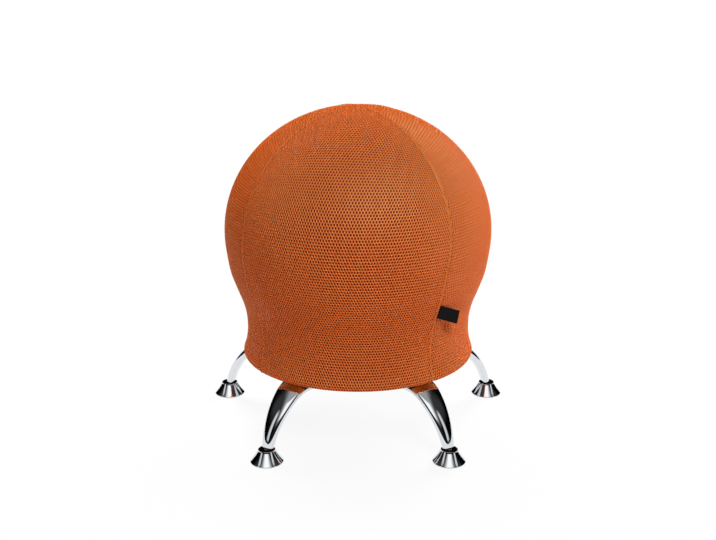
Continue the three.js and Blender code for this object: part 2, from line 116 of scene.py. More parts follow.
def outwardMesh(mesh):  # merges doubles, then turns every face outwards
    work = bmesh.new()
    work.from_mesh(mesh)
    bmesh.ops.remove_doubles(work, verts=work.verts, dist=0.01 * mm)
    bmesh.ops.recalc_face_normals(work, faces=work.faces)
    work.to_mesh(mesh)
    work.free()
    return mesh


def gridFaces(outer, inner, closed=False, closedRows=False, turnedOver=False):  # faces between neighbouring rows
    faces = []
    for i in range(outer if closed else outer - 1):
        for k in range(inner if closedRows else inner - 1):
            row, nextRow, nextPoint = i * inner, (i + 1) % outer * inner, (k + 1) % inner
            a, b, c, d = row + k, nextRow + k, nextRow + nextPoint, row + nextPoint
            faces.append((a, d, c, b) if turnedOver else (a, b, c, d))
    return faces


def turned(name, profile, steps, middle=(0, 0), closed=False):  # a profile of radius and height, turned
    points = []
    for i in range(steps):
        angle = 2 * math.pi * i / steps
        for radius, height in profile:
            points.append((middle[0] + radius * math.cos(angle), middle[1] + radius * math.sin(angle), height))
    return outwardMesh(meshFrom(name, points, gridFaces(
        steps, len(profile), closed=True, closedRows=closed, turnedOver=True)))


def arcPoints(middle, radius, start, end, steps):  # angles in degrees from outwards, towards up
    angles = np.radians(np.linspace(start, end, steps + 1))
    return [(middle[0] + radius * math.cos(a), middle[1] + radius * math.sin(a)) for a in angles]


def layFlat(mesh, name, places):  # a UV map from one flat place for each point
    corners = np.empty(len(mesh.loops), dtype=np.int32)
    mesh.loops.foreach_get("vertex_index", corners)
    mesh.uv_layers.new(name=name).data.foreach_set("uv", np.asarray(places, dtype=np.float32)[corners].ravel())


axisY = -269 * mm * (1 - cosine(36)) / 2  # the chair's middle line


# materials

finish = {
    # the hole-wall colour is painted shade, darker red down the holes
    "meshColour": "#EE7228", "meshShade": "#C45012", "holeShadeColour": "#CC3804", "bloomColour": "#FF962C",
    # the backing colour is painted shade for the bottoms of the holes
    "seamColour": "#EE8A3C", "seamShade": "#C65A1C", "backingShadeColour": "#5A1B0A", "ballColour": "#75787C",
    "chromeColour": "#DDE0E3", "zincColour": "#B4B8BC", "zincBloom": "#A9A48F",
    "panColour": "#1C1D1F", "nylonColour": "#1A1A1B", "rubberColour": "#232323",
    "tapeColour": "#08080A", "elasticColour": "#17171A",
    "glossTint": "#E4F6AC",  # the sheen of light that orange yarn has filtered
}


def shaded(colour, share, added=0.0):  # a lighter or darker tone of a colour
    return tuple(min(1, c * share + added) for c in toLinear(colour)[:3]) + (1.0,)


def clothMaterial():  # knitted polyester spacer mesh: matt yarn, a soft bloom at the edges, fine loops on the webs
    material, add, shader = newMaterial("knitted polyester spacer mesh")
    flat = add("UVMap", uv_map="cutCloth")
    loops = add("TexWave", {"Vector": flat, "Scale": 0.42, "Distortion": 1.5, "Detail": 1.0}, wave_type="BANDS",
                bands_direction="DIAGONAL").outputs["Fac"]  # loops 1 mm apart
    yarn = add("TexNoise", {"Vector": flat, "Scale": 1.1, "Detail": 3.0})
    dye = add("TexNoise", {"Vector": add("TexCoord").outputs["Object"], "Scale": 9.0, "Detail": 2.0})
    mottle = add("Math", {0: yarn, 1: 0.55, 2: 0.1}, operation="MULTIPLY_ADD")
    shade = add("Math", {0: dye, 1: 0.35, 2: mottle}, operation="MULTIPLY_ADD", use_clamp=True)
    tones = {0: shade, 6: toLinear(finish["meshColour"]), 7: toLinear(finish["meshShade"])}
    colour = add("Mix", tones, data_type="RGBA").outputs[2]
    # painted shade: the walls of the holes turn a darker, deeper red towards their bottoms, standing in for the shade
    # and the orange light thrown between the yarns there
    paintedHoleShade = {0: add("Attribute", attribute_name="sunk").outputs["Fac"], 6: colour, 7: toLinear(finish["holeShadeColour"])}
    relief = add("Math", {0: loops, 1: 0.7, 2: yarn}, operation="MULTIPLY_ADD")
    setSockets(shader, {
        "Base Color": add("Mix", paintedHoleShade, data_type="RGBA").outputs[2],
        "Roughness": add("MapRange", {0: yarn, 3: 0.4, 4: 0.54}),
        "Normal": add("Bump", {"Strength": 0.35, "Distance": 0.25 * mm, "Height": relief}),
        "IOR": 1.5, "Specular IOR Level": 0.3, "Specular Tint": toLinear(finish["glossTint"]),
        "Sheen Weight": 0.35, "Sheen Roughness": 0.4, "Sheen Tint": toLinear(finish["bloomColour"]),
    })
    return material


def plasticMaterial(name, colour, rough, grain, depth, ior=1.49, gloss=0.5):  # grain drawn coarse, to show
    material, add, shader = newMaterial(name)
    place = add("TexCoord").outputs["Object"]
    cells = add("TexNoise", {"Vector": place, "Scale": 1 / grain, "Detail": 2.0})
    cloud = add("TexNoise", {"Vector": place, "Scale": 22.0, "Detail": 3.0})
    tones = {0: cloud, 6: toLinear(colour), 7: shaded(colour, 0.78)}
    setSockets(shader, {
        "Base Color": add("Mix", tones, data_type="RGBA").outputs[2],
        "Roughness": add("MapRange", {0: cloud, 3: rough - 0.08, 4: rough + 0.08}),
        "Normal": add("Bump", {"Strength": 0.5, "Distance": depth, "Height": cells}),
        "IOR": ior, "Specular IOR Level": gloss,
    })
    return material


def chromeMaterial():  # chrome plate on polished steel: mirror-bright, with a breath of polishing haze
    material, add, shader = newMaterial("polished chrome plate")
    place = add("TexCoord").outputs["Object"]
    haze = add("TexNoise", {"Vector": place, "Scale": 60.0, "Detail": 4.0})
    peel = add("TexNoise", {"Vector": place, "Scale": 90.0, "Detail": 1.0})
    setSockets(shader, {
        "Base Color": toLinear(finish["chromeColour"]), "Metallic": 1.0,
        "Roughness": add("MapRange", {0: haze, 1: 0.35, 2: 0.75, 3: 0.035, 4: 0.085}),
        "Normal": add("Bump", {"Strength": 0.05, "Distance": 0.05 * mm, "Height": peel}),
    })
    return material


def zincMaterial():  # bright zinc plate: satin metal, slightly blotched where the passivation is thicker
    material, add, shader = newMaterial("passivated zinc plate")
    bloom = add("TexNoise", {"Vector": add("TexCoord").outputs["Object"], "Scale": 240.0, "Detail": 3.0})
    tones = {0: bloom, 6: toLinear(finish["zincColour"]), 7: toLinear(finish["zincBloom"])}
    setSockets(shader, {
        "Base Color": add("Mix", tones, data_type="RGBA").outputs[2], "Metallic": 1.0,
        "Roughness": add("MapRange", {0: bloom, 3: 0.25, 4: 0.5}),
        "Normal": add("Bump", {"Strength": 0.2, "Distance": 0.03 * mm, "Height": bloom}),
    })
    return material


def wovenMaterial(name, colour, pitch, uvName, gloss=0.1, tint="#FFFFFF"):  # crossing threads with a slight gloss
    material, add, shader = newMaterial(name)
    threads = {"Vector": add("UVMap", uv_map=uvName), "Scale": 0.314 / pitch}  # pitch in millimetres
    warp, weft = (add("TexWave", threads, bands_direction=way).outputs["Fac"] for way in "XY")
    weave = add("Math", {0: warp, 1: weft}, operation="MAXIMUM")
    tones = {0: weave, 6: toLinear(colour), 7: shaded(colour, 2, 0.002)}
    setSockets(shader, {
        "Base Color": add("Mix", tones, data_type="RGBA").outputs[2],
        "Roughness": add("MapRange", {0: weave, 3: 0.8, 4: 0.55}),
        "Normal": add("Bump", {"Strength": 0.6, "Distance": 0.15 * mm, "Height": weave}),
        "IOR": 1.4, "Specular IOR Level": gloss, "Specular Tint": toLinear(tint),
    })
    return material


def threadMaterial():  # twisted polyester sewing thread: slightly glossier than the cloth
    material, add, shader = newMaterial("twisted sewing thread")
    strands = {"Vector": add("TexCoord").outputs["Object"], "Scale": 700.0, "Distortion": 0.5}  # 0.5 mm apart
    twist = add("TexWave", strands, bands_direction="DIAGONAL").outputs["Fac"]
    tones = {0: twist, 6: toLinear(finish["seamColour"]), 7: toLinear(finish["seamShade"])}
    setSockets(shader, {
        "Base Color": add("Mix", tones, data_type="RGBA").outputs[2], "Roughness": 0.5, "IOR": 1.5,
        "Normal": add("Bump", {"Strength": 0.4, "Distance": 0.05 * mm, "Height": twist}),
    })
    return material


chrome = chromeMaterial()
zinc = zincMaterial()
cloth = clothMaterial()
thread = threadMaterial()
# moulded skins: the ball's has a soft sheen, the pan and glides are satin and spark-eroded, the rubber is dull
ballSkin = plasticMaterial("satin vinyl", finish["ballColour"], 0.5, 1.2 * mm, 0.03 * mm, 1.5, 0.3)
panPlastic = plasticMaterial("moulded polypropylene", finish["panColour"], 0.5, 0.7 * mm, 0.08 * mm)
nylon = plasticMaterial("moulded nylon", finish["nylonColour"], 0.42, 0.9 * mm, 0.04 * mm, 1.53)
rubber = plasticMaterial("matt rubber", finish["rubberColour"], 0.75, 0.8 * mm, 0.06 * mm, 1.52)
elastic = plasticMaterial("braided elastic", finish["elasticColour"], 0.8, 1.1 * mm, 0.15 * mm, 1.5)
tape = wovenMaterial("woven polyester tape", finish["tapeColour"], 0.7, "tapeLength")
# the backing's dark brown-red is painted shade seen at the bottom of every hole
backing = wovenMaterial("knitted backing", finish["backingShadeColour"], 0.9, "cutCloth", 0.02, finish["glossTint"])

kept = {"base_pan": panPlastic, "cradle_edging": rubber, "hem_elastic": elastic, "valve_plug": nylon}
for name in legNames:
    kept[f"leg_end_plug_{name}"] = nylon
    kept[f"glide_stud_{name}"] = zinc
    kept[f"screw_insert_inner_{name}"] = kept[f"screw_insert_outer_{name}"] = zinc
for name, material in kept.items():
    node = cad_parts[name]
    for slot in node.material_slots:
        slot.material = material
print("materials made")


# the cover's outline: radius and height from the top, down and round the rim bead

cover = {
    "ballRadius": 240.2 * mm, "ballHalfHeight": 223.5 * mm, "middle": 360.266 * mm,
    "thickness": 2.8 * mm, "leaveAngle": 98, "beadMiddle": (206.9 * mm, 133.966 * mm), "beadReach": 7.6 * mm,
    "easeStart": 300 * mm, "easeIn": 60 * mm, "easeStop": 22 * mm, "easeOut": 10 * mm,
    "flank": [(234.7, 292.4), (224.8, 263.0), (213.4, 232.4), (207.5, 206.4), (206.1, 177.0), (209.2, 152.1)],
    "seams": [39, 128, 216, 305], "panels": ["right", "back", "left", "front"],
    "pitch": 4.8 * mm, "rowStep": 5.25 * mm, "holeRadius": 1.3 * mm, "holeStretch": 1.25, "webEdge": 0.6 * mm,
    "webDrop": 0.14 * mm, "webDepth": 1.5 * mm, "backing": -2.0 * mm, "rowStretch": 0.08, "seamGap": 0.5 * mm,
    "drift": [(0, 2.5), (230, 2.5), (290, 2.3), (335, 1.5), (382, -0.3), (425, -1.3), (455, -1.7), (495, -1.4),
              (540, -1), (615, -1)],
    "crease": {"bearing": 47.5, "height": 221 * mm, "width": 7 * mm, "length": 14 * mm, "depth": 7 * mm, "slant": 0.45},
    "lapped": ["front", "back"], "lap": 0.8 * mm, "lapMiddle": 3 * mm, "lapReach": 2.5 * mm, "lapEdge": 1.2 * mm,
    "seamDip": 2.2 * mm, "seamReach": 4 * mm, "pucker": 0.18 * mm, "puckerReach": 6 * mm, "puckerStep": 11 * mm,
}


def coverOutline():
    radius, half = cover["ballRadius"] + cover["thickness"], cover["ballHalfHeight"] + cover["thickness"]
    angles = np.radians(np.linspace(0, cover["leaveAngle"], 400))
    crown = np.stack([radius * np.sin(angles), cover["middle"] + half * np.cos(angles)], 1)
    bead = np.array(arcPoints(cover["beadMiddle"], cover["beadReach"], 15, -90, 24))
    knots = np.array([crown[-30], crown[-1], *[(r * mm, z * mm) for r, z in cover["flank"]], bead[0], bead[4]])
    flank = []
    for before, start, end, after in zip(knots, knots[1:], knots[2:], knots[3:]):  # through every knot
        for t in np.linspace(0, 1, 24, endpoint=False):
            slopeIn, slopeOut = (end - before) / 2, (after - start) / 2
            a, b = 2 * t ** 3 - 3 * t ** 2 + 1, t ** 3 - 2 * t ** 2 + t
            flank.append(a * start + b * slopeIn + (1 - a) * end + (t ** 3 - t ** 2) * slopeOut)
    path = np.concatenate([crown[:-1], flank, bead])
    length = np.concatenate([[0], np.cumsum(np.linalg.norm(np.diff(path, axis=0), axis=1))])
    even = np.linspace(0, length[-1], 1300)
    path = np.stack([np.interp(even, length, path[:, 0]), np.interp(even, length, path[:, 1])], 1)
    smooth = path.copy()
    window = np.hanning(25)
    window /= window.sum()
    for k in (0, 1):  # eases the joins of the three stretches
        smooth[12:-12, k] = np.convolve(path[:, k], window, "valid")
    fromBall = (even - cover["easeStart"]) / cover["easeIn"]
    toBead = (even[-1] - cover["easeStop"] - even) / cover["easeOut"]
    path += (smooth - path) * (np.clip(fromBall, 0, 1) * np.clip(toBead, 0, 1))[:, None]
    slope = np.gradient(path, even, axis=0)
    slope /= np.linalg.norm(slope, axis=1)[:, None]
    return even, path, np.stack([-slope[:, 1], slope[:, 0]], 1)


along, outline, outlineNormal = coverOutline()
quarter = along[np.argmax(outline[:, 0])]  # from the top to the widest place
widest = outline[:, 0].max()
clothEnd = along[-1]
print("outline", round(clothEnd, 4), "m from the top to the rim's underside")


def turnFrom(bearing, start):  # how far a bearing lies from a start in degrees, as radians to either side
    return np.mod(bearing - math.radians(start) + math.pi, 2 * math.pi) - math.pi


def onCover(distance, bearing, lift):  # places on the cover from distance down, bearing in radians and height off it
    near = np.clip(1 - np.abs(turnFrom(bearing, cover["seams"][0])) / math.radians(60), 0, 1)
    sideways = np.interp(distance / mm, *zip(*cover["drift"]))  # the right front seam isn't sewn quite straight
    bearing = bearing + np.radians(sideways) * near * near * (3 - 2 * near)
    radius, height = (np.interp(distance, along, outline[:, k]) for k in (0, 1))
    outRadius, outHeight = (np.interp(distance, along, outlineNormal[:, k]) for k in (0, 1))
    radius, height = radius + outRadius * lift, height + outHeight * lift
    pull = cover["crease"]  # where the tab's stitching pulls the cloth in
    across = turnFrom(bearing, pull["bearing"]) * radius - (pull["height"] - height) * pull["slant"]
    away = (across / pull["width"]) ** 2 + ((height - pull["height"]) / pull["length"]) ** 2
    radius = radius - pull["depth"] * np.exp(-away)
    return np.stack([radius * np.sin(bearing), axisY - radius * np.cos(bearing), height], -1)


# perforated panels: the cloth is punched flat by Geometry Nodes, cut to its gore and wrapped

def flatReach(down, halfSpan):  # half the width of the flat gore, where it is cut for its seam
    upper = widest * np.arctan(np.tan(halfSpan) * np.sin(np.clip(down / quarter, 0, 1) * np.pi / 2))
    return np.where(down < quarter, upper, halfSpan * np.interp(down, along, outline[:, 0]))


def newTree(name, inputs, result):  # a Geometry Nodes tree, with its named inputs
    tree = bpy.data.node_groups.new(name, "GeometryNodeTree")
    for label, kind in inputs.items():
        tree.interface.new_socket(label, in_out="INPUT", socket_type="NodeSocket" + kind)
    tree.interface.new_socket(result, in_out="OUTPUT", socket_type="NodeSocketGeometry")
    return partial(addNode, tree), addNode(tree, "NodeGroupInput").outputs


def closeTree(add, instances, material, weld=None):  # real meshes with their material, welded where a gap is given
    made = add("GeometryNodeRealizeInstances", {"Geometry": instances})
    if weld:
        made = add("GeometryNodeMergeByDistance", {"Geometry": made, "Distance": weld})
    dressed = add("GeometryNodeSetMaterial", {"Geometry": made, "Material": material})
    return add("NodeGroupOutput", {0: dressed}).id_data


def perforationTree():  # fills the cut with staggered six-sided cells, each with its hole
    add, given = newTree("punchedCloth", {
        "Cut": "Geometry", "Pitch": "Float", "Row Step": "Float", "Hole Radius": "Float", "Hole Stretch": "Float",
        "Web Edge": "Float", "Web Drop": "Float", "Web Depth": "Float", "Columns": "Int", "Rows": "Int",
        "Material": "Material"}, "Cloth")
    pitch, rowStep = given["Pitch"], given["Row Step"]
    cell = add("Math", {0: pitch, 1: math.sqrt(3)}, operation="DIVIDE")
    evenStep = add("Math", {0: pitch, 1: math.sqrt(3) / 2}, operation="MULTIPLY")
    shape = add("CombineXYZ", {"X": 1.0, "Y": add("Math", {0: rowStep, 1: evenStep}, operation="DIVIDE"), "Z": 1.0})
    edge = add("Math", {0: given["Hole Radius"], 1: given["Web Edge"]}, operation="ADD")
    # one six-sided cell: its web, then the wall of its hole
    plate = add("GeometryNodeMeshCircle", {"Vertices": 6, "Radius": cell}, fill_type="NGON")
    upright = add("GeometryNodeTransform", {"Geometry": plate, "Rotation": (0, 0, math.pi / 6)})
    face = add("GeometryNodeTransform", {"Geometry": upright, "Scale": shape})
    chosen = {}
    for depth, inside, outside in (("Web Drop", edge, cell), ("Web Depth", given["Hole Radius"], edge)):
        sunk = add("Math", {0: given[depth], 1: -1.0}, operation="MULTIPLY")
        wall = add("GeometryNodeExtrudeMesh", {"Mesh": face, "Offset Scale": sunk, **chosen}, mode="FACES")
        chosen = {"Selection": wall.outputs["Top"]}
        share = add("Math", {0: inside, 1: outside}, operation="DIVIDE")
        face = add("GeometryNodeScaleElements", {"Geometry": wall, "Scale": share, **chosen}, domain="FACE")
        if depth == "Web Drop":  # the stretched cloth draws its holes upright
            face = add("GeometryNodeScaleElements", {
                "Geometry": face, "Scale": given["Hole Stretch"], "Axis": (0, 1, 0), **chosen},
                domain="FACE", scale_mode="SINGLE_AXIS")
    punched = add("GeometryNodeDeleteGeometry", {"Geometry": face, **chosen}, domain="FACE")
    # the staggered rows, kept where they lie on the cut
    columnGaps = add("Math", {0: given["Columns"], 1: 1.0}, operation="SUBTRACT")
    rowGaps = add("Math", {0: given["Rows"], 1: 1.0}, operation="SUBTRACT")
    wide = add("Math", {0: columnGaps, 1: pitch}, operation="MULTIPLY")
    tall = add("Math", {0: rowGaps, 1: rowStep}, operation="MULTIPLY")
    grid = add("GeometryNodeMeshGrid", {"Size X": wide, "Size Y": tall, "Vertices X": given["Columns"],
                                        "Vertices Y": given["Rows"]})
    row = add("Math", {0: add("GeometryNodeInputIndex"), 1: given["Rows"]}, operation="MODULO")
    odd = add("Math", {0: row, 1: 2.0}, operation="MODULO")
    shift = add("Math", {0: odd, 1: add("Math", {0: pitch, 1: 0.5}, operation="MULTIPLY")}, operation="MULTIPLY")
    offset = add("CombineXYZ", {"X": shift, "Y": add("Math", {0: tall, 1: -0.5}, operation="MULTIPLY")})
    rows = add("GeometryNodeSetPosition", {"Geometry": grid, "Offset": offset})
    hit = add("GeometryNodeRaycast", {"Target Geometry": given["Cut"], "Ray Direction": (0, 0, -1), "Ray Length": 1.0})
    missed = add("FunctionNodeBooleanMath", {0: hit.outputs["Is Hit"]}, operation="NOT")
    places = add("GeometryNodeDeleteGeometry", {"Geometry": rows, "Selection": missed}, domain="POINT")
    cells = add("GeometryNodeInstanceOnPoints", {"Points": places, "Instance": punched})
    return closeTree(add, cells, given["Material"], 0.05 * mm)


def throughNodes(name, mesh, tree, values):  # runs a mesh or curve through a tree and gives back a plain mesh
    holder = bpy.data.objects.new(name, mesh)
    bpy.context.scene.collection.objects.link(holder)
    modifier = holder.modifiers.new("nodes", "NODES")
    modifier.node_group = tree
    for item in tree.interface.items_tree:
        if item.in_out == "INPUT" and item.name in values:
            modifier[item.identifier] = values[item.name]
    graph = bpy.context.evaluated_depsgraph_get()
    made = bpy.data.meshes.new_from_object(holder.evaluated_get(graph), preserve_all_data_layers=True, depsgraph=graph)
    holder.modifiers.clear()
    bpy.data.objects.remove(holder)
    return made


def panelMesh(name, start, end, tree):
    halfSpan, middle = math.radians(end - start) / 2, math.radians(start + end) / 2
    margin = cover["pitch"] * 0.5
    downs = np.linspace(0, clothEnd, 160)
    reach = flatReach(downs, halfSpan) + margin
    edge = [(x, -d, -mm) for x, d in zip(reach, downs)] + [(-x, -d, -mm) for x, d in zip(reach[::-1], downs[::-1])]
    edge = [(edge[0][0], margin, -mm), *edge[:160], (edge[159][0], -clothEnd - margin, -mm),
            (edge[160][0], -clothEnd - margin, -mm), *edge[160:], (edge[-1][0], margin, -mm)]
    count = len(edge)
    pattern = meshFrom("pattern", edge, [(i, i + 1, count - 2 - i, count - 1 - i) for i in range(count // 2 - 1)])
    columns = int(2 * reach.max() / cover["pitch"]) + 3
    rows = int(clothEnd / cover["rowStep"]) + 3
    mesh = throughNodes("punching", pattern, tree, {
        "Pitch": cover["pitch"], "Row Step": cover["rowStep"], "Hole Radius": cover["holeRadius"],
        "Hole Stretch": cover["holeStretch"], "Web Edge": cover["webEdge"], "Web Drop": cover["webDrop"],
        "Web Depth": cover["webDepth"], "Columns": columns, "Rows": rows, "Material": cloth})
    flat = np.empty(len(mesh.vertices) * 3, dtype=np.float32)
    mesh.vertices.foreach_get("co", flat)
    flat = flat.reshape(-1, 3).astype(float)
    down = np.clip(-flat[:, 1], 0.3 * mm, clothEnd)
    limit = flatReach(down, halfSpan) - cover["seamGap"] / 2
    across, lift = np.clip(flat[:, 0], -limit, limit), flat[:, 2]
    # the cloth lies straight across the gore near the top, and round the chair below its widest place
    ease = np.clip(down / quarter, 0, 1)
    turnAcross, turnDown = across / widest, ease * np.pi / 2
    straight = quarter * np.arccos(np.cos(turnAcross) * np.cos(turnDown)) / (np.pi / 2)
    ease = ease * ease * (3 - 2 * ease)
    distance = np.where(down < quarter, down + (straight - down) * (1 - ease), down)
    distance = distance * (1 + cover["rowStretch"] * (1 - distance / clothEnd))  # pulled longer over the top
    turnRound = np.arctan2(np.sin(turnAcross), np.cos(turnAcross) * np.sin(turnDown))
    bearing = np.where(down < quarter, turnRound, across / np.interp(down, along, outline[:, 0]))
    toSeam = np.minimum(limit - across, limit + across)
    if name in cover["lapped"]:  # its edges lie on the folded seam allowance
        raised = np.exp(-((toSeam - cover["lapMiddle"]) / cover["lapReach"]) ** 2)
        dip = cover["lap"] * (raised - 1.1 * np.exp(-(toSeam / cover["lapEdge"]) ** 2))
    else:  # the sewing draws the cloth in along its seams
        dip = -cover["seamDip"] * np.exp(-(toSeam / cover["seamReach"]) ** 2)
    wave = np.sin(2 * np.pi * down / cover["puckerStep"])
    pucker = cover["pucker"] * np.exp(-toSeam / cover["puckerReach"]) * wave
    placed = onCover(distance, middle + bearing, lift + dip + pucker)
    mesh.vertices.foreach_set("co", placed.astype(np.float32).ravel())
    # this depth also masks the cloth's painted shade, darkening each hole's wall towards its bottom
    sunk = np.clip(-lift / cover["webDepth"] * 1.4, 0, 1)  # how far down the wall of a hole a point lies
    mesh.attributes.new("sunk", "FLOAT", "POINT").data.foreach_set("value", sunk.astype(np.float32))
    laid = mesh.attributes.new("laid", "FLOAT_VECTOR", "POINT")
    laid.data.foreach_set("vector", np.stack([across, -down, 0 * down], 1).astype(np.float32).ravel())
    work = bmesh.new()
    work.from_mesh(mesh)
    # clipping to the gore leaves slivers along its edges
    bmesh.ops.remove_doubles(work, verts=work.verts, dist=0.04 * mm)
    bmesh.ops.dissolve_degenerate(work, edges=work.edges, dist=0.01 * mm)
    work.to_mesh(mesh)
    work.free()
    laidFlat = np.empty(len(mesh.vertices) * 3, dtype=np.float32)
    mesh.attributes["laid"].data.foreach_get("vector", laidFlat)
    laidFlat = laidFlat.reshape(-1, 3)[:, :2]
    layFlat(mesh, "cutCloth", laidFlat / mm)
    layFlat(mesh, "OFBake", laidFlat / (2 * limit.max() * 1.02, clothEnd * 1.01) + (0.5, 0.995))  # within one tile
    mesh.attributes.remove(mesh.attributes["laid"])
    areaFlat = float(np.sum(2 * flatReach(downs, halfSpan)) * (downs[1] - downs[0]))
    return mesh, (2 * float(limit.max()), clothEnd, areaFlat)


punching = perforationTree()
panels = {}
for i, name in enumerate(cover["panels"]):
    start, end = cover["seams"][i], cover["seams"][(i + 1) % 4]
    end += 360 if end < start else 0
    mesh, (wide, tall, area) = panelMesh(name, start, end, punching)
    panel = newPiece(f"cover_{name}", mesh, cloth, replaced=[f"cover_panel_{name}"])
    panels[name] = (panel, wide, tall, area)
    print("panel", name, len(mesh.polygons), "faces", len(mesh.vertices), "points")


# ball, with the throat and collar of its valve underneath

valve = {"throat": 4.5 * mm, "length": 9 * mm, "collar": 9 * mm, "collarDepth": 7 * mm, "edgeAngle": 178.9}

ballAngles = np.radians(np.linspace(0, valve["edgeAngle"], 120))
outer = [(cover["ballRadius"] * math.sin(a), cover["middle"] + cover["ballHalfHeight"] * math.cos(a))
         for a in ballAngles]
outer[0] = (0, outer[0][1])
valveTop = cover["middle"] - cover["ballHalfHeight"] + valve["length"]
outer += [(valve["throat"], valveTop), (valve["collar"], valveTop), (valve["collar"], valveTop - valve["collarDepth"])]
ballMesh = turned("ball", outer, 128, (0, axisY))
ball = newPiece("ball_skin", ballMesh, ballSkin, replaced=["ball"], smoothAngle=40)
print("ball made")


# the inner face is a guessed real layer; its dark colour is painted shade
def backingMesh(turns=240, rows=220):  # the inner face of the spacer cloth, which closes the view through its holes
    bearing, distance = np.meshgrid(np.linspace(0, 2 * np.pi, turns + 1), np.linspace(1.5 * mm, clothEnd, rows))
    placed = onCover(distance, bearing, cover["backing"])
    placed[:, -1] = placed[:, 0]
    mesh = meshFrom("backing", placed.reshape(-1, 3), gridFaces(rows, turns + 1))
    layFlat(mesh, "cutCloth", np.stack([bearing * widest, -distance], -1).reshape(-1, 2) / mm)
    return mesh


backingPiece = newPiece("cover_backing", backingMesh(), backing)


# seams, their stitches and the hem

seam = {"halfWidth": 1.7 * mm, "height": 0.9 * mm, "sink": 1.0 * mm, "stitch": 2.7 * mm, "gap": 0.9 * mm,
        "threadRadius": 0.34 * mm, "offset": 4.2 * mm, "rowLift": 0.6 * mm, "zigzag": 2.1 * mm, "zigzagLift": -0.15 * mm,
        "reach": 1.7 * mm, "fromTop": 14 * mm, "fromEnd": 6 * mm}


def seamMesh(bearing, rows=360, columns=9):  # the covered join: a low welt that follows the outline
    points = []
    angle = math.radians(bearing)
    sideways = np.array([math.cos(angle), math.sin(angle), 0])
    for distance in np.linspace(0.2 * mm, clothEnd, rows):
        width = min(1.0, distance / (8 * mm)) * seam["halfWidth"]
        for share in np.linspace(-1, 1, columns):
            lift = seam["height"] * math.sqrt(max(0, 1 - share * share)) - seam["sink"]
            points.append(onCover(distance, angle, lift) + sideways * width * share)
    return meshFrom("seam", points, gridFaces(rows, columns))


def joinedMesh(name, meshes):
    work = bmesh.new()
    for mesh in meshes:
        work.from_mesh(mesh)
    result = bpy.data.meshes.new(name)
    work.to_mesh(result)
    work.free()
    return result


def stitchTree():  # lays a thread along every edge of the given lines
    inputs = {"Lines": "Geometry", "Thread Radius": "Float", "Material": "Material"}
    add, given = newTree("stitchRow", inputs, "Stitches")
    lie = add("GeometryNodeInputNamedAttribute", {"Name": "lie"}, data_type="FLOAT_VECTOR")
    spots = add("GeometryNodeMeshToPoints", {"Mesh": given["Lines"]}, mode="EDGES")
    stitch = add("GeometryNodeMeshUVSphere", {"Segments": 6, "Rings": 5, "Radius": 1.0})
    length = add("VectorMath", {0: lie}, operation="LENGTH").outputs["Value"]
    halfLength = add("Math", {0: length, 1: 0.5}, operation="MULTIPLY")
    size = add("CombineXYZ", {"X": given["Thread Radius"], "Y": given["Thread Radius"], "Z": halfLength})
    turnTo = add("FunctionNodeAlignRotationToVector", {"Vector": lie}, axis="Z")
    placed = add("GeometryNodeInstanceOnPoints",
                 {"Points": spots, "Instance": stitch, "Rotation": turnTo, "Scale": size})
    return closeTree(add, placed, given["Material"])


def threadLines(name, stitches):  # one loose edge for each stitch, which keeps its direction and length
    mesh = bpy.data.meshes.new(name)
    edges = [(2 * i, 2 * i + 1) for i in range(len(stitches))]
    mesh.from_pydata([tuple(end) for ends in stitches for end in ends], edges, [])
    lie = mesh.attributes.new("lie", "FLOAT_VECTOR", "EDGE")
    lie.data.foreach_set("vector", np.array([end - start for start, end in stitches], dtype=np.float32).ravel())
    return mesh


seamPiece = newPiece("cover_seams", joinedMesh("seams", [seamMesh(b) for b in cover["seams"]]), cloth)
layFlat(seamPiece.data, "cutCloth", [((v.co.x + v.co.y) / mm, v.co.z / mm) for v in seamPiece.data.vertices])
sewn = []
for bearing, lapSide in zip(cover["seams"], (-1, 1, -1, 1)):
    angle = math.radians(bearing)
    sideways = np.array([math.cos(angle), math.sin(angle), 0])
    start, end = seam["fromTop"], clothEnd - seam["fromEnd"]
    for i in range(int((end - start) / (seam["stitch"] + seam["gap"]))):  # a straight row holds the allowance down
        low = start + i * (seam["stitch"] + seam["gap"])
        sewn.append([onCover(d, angle, seam["rowLift"]) + sideways * lapSide * seam["offset"]
                     for d in (low, low + seam["stitch"])])
    for i in range(int((end - start) / seam["zigzag"])):  # and a zigzag closes the join
        low, side = start + i * seam["zigzag"], 1 if i % 2 else -1
        sewn.append([onCover(low + share * seam["zigzag"], angle, seam["zigzagLift"]) + sideways * turn * seam["reach"]
                     for share, turn in ((0, side), (1, -side))])
stitches = throughNodes("stitching", threadLines("lines", sewn), stitchTree(),
                        {"Thread Radius": seam["threadRadius"], "Material": thread})
newPiece("seam_stitches", stitches, thread)

hem = {"middle": (197.5 * mm, 129.17 * mm), "radius": 3.6 * mm, "underBead": 0.9 * mm, "gathers": 190,
       "gatherDepth": 0.35 * mm, "steps": 950}


def hemMesh():  # the rolled hem under the rim, gathered by its elastic
    profile = arcPoints(cover["beadMiddle"], cover["beadReach"] - hem["underBead"], -70, -90, 3)
    profile += arcPoints(hem["middle"], hem["radius"], -80, -300, 16)
    points, rows = [], len(profile)
    for i in range(hem["steps"]):
        angle = 2 * math.pi * i / hem["steps"]
        wave = math.sin(hem["gathers"] * angle + 1.3 * math.sin(7 * angle))
        for k, (radius, height) in enumerate(profile):
            fold = wave * hem["gatherDepth"] * min(1, k / 6)
            points.append((radius * math.cos(angle), axisY + radius * math.sin(angle), height + fold))
    mesh = meshFrom("hem", points, gridFaces(hem["steps"], rows, closed=True, turnedOver=True))
    layFlat(mesh, "cutCloth", [(i // rows * 1.3, i % rows * 1.1) for i in range(len(points))])
    return mesh


newPiece("cover_hem", hemMesh(), cloth)
print("seams and hem made")


# label tab: a bare loop of tape, its ends sewn into the seam

